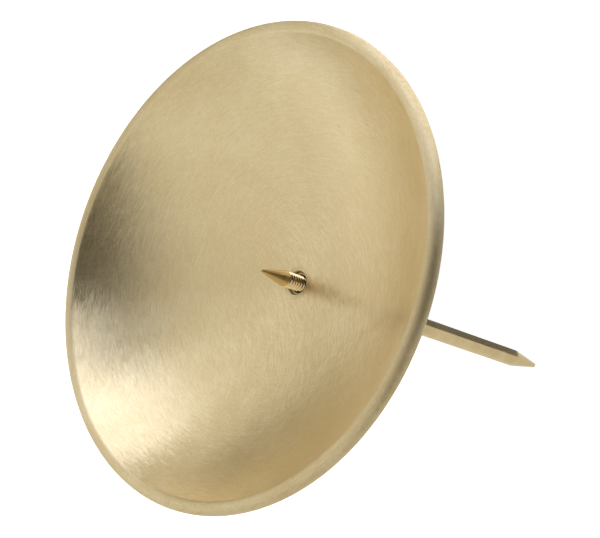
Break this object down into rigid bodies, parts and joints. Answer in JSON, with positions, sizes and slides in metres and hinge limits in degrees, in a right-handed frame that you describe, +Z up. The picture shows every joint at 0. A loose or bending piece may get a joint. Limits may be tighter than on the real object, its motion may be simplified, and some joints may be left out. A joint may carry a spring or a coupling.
{
  "type": "pricket candle plate",
  "caption": "Round brass drip plate for an altar candlestick, loose on a nut and washer over a threaded pin with a short cone spike for the candle.",
  "frame": {"origin": "on the pin's axis, at the shoulder where the pin enters the candlestick's socket", "axes": "+Z runs up the pin towards the candle spike; the plate is round, so X and Y are any two level directions"},
  "size_m": [0.14, 0.14, 0.1498],
  "materials": {
    "brushed_brass_sheet": "satin, scratch-brushed in many directions",
    "turned_brass_rod": "bright turned, with fine lathe lines",
    "machined_brass_nut": "machined, slightly dulled",
    "stamped_brass_washer": "stamped and tumbled"
  },
  "bodies": {
    "pin": {"spike_pin": "turned_brass_rod"},
    "washer": {"seat_washer": "stamped_brass_washer"},
    "nut": {"seat_nut": "machined_brass_nut"},
    "plate": {"drip_plate": "brushed_brass_sheet"}
  },
  "joints": [
    {"name": "seat_height", "type": "slide", "parent": "pin", "child": "washer", "axis": [0, 0, 1], "range_m": [0, 0.00529]},
    {"name": "nut_turn", "type": "hinge", "parent": "washer", "child": "nut", "pos_m": [0, 0, 0.00205], "axis": [0, 0, 1], "range_deg": [0, 1801]},
    {"name": "plate_lift", "type": "slide", "parent": "washer", "child": "plate", "axis": [0, 0, 1], "range_m": [0, 0.017]}
  ],
  "couplings": [
    {"joint": "nut_turn", "follows": "seat_height", "rad_per_m": 5938.7}
  ]
}
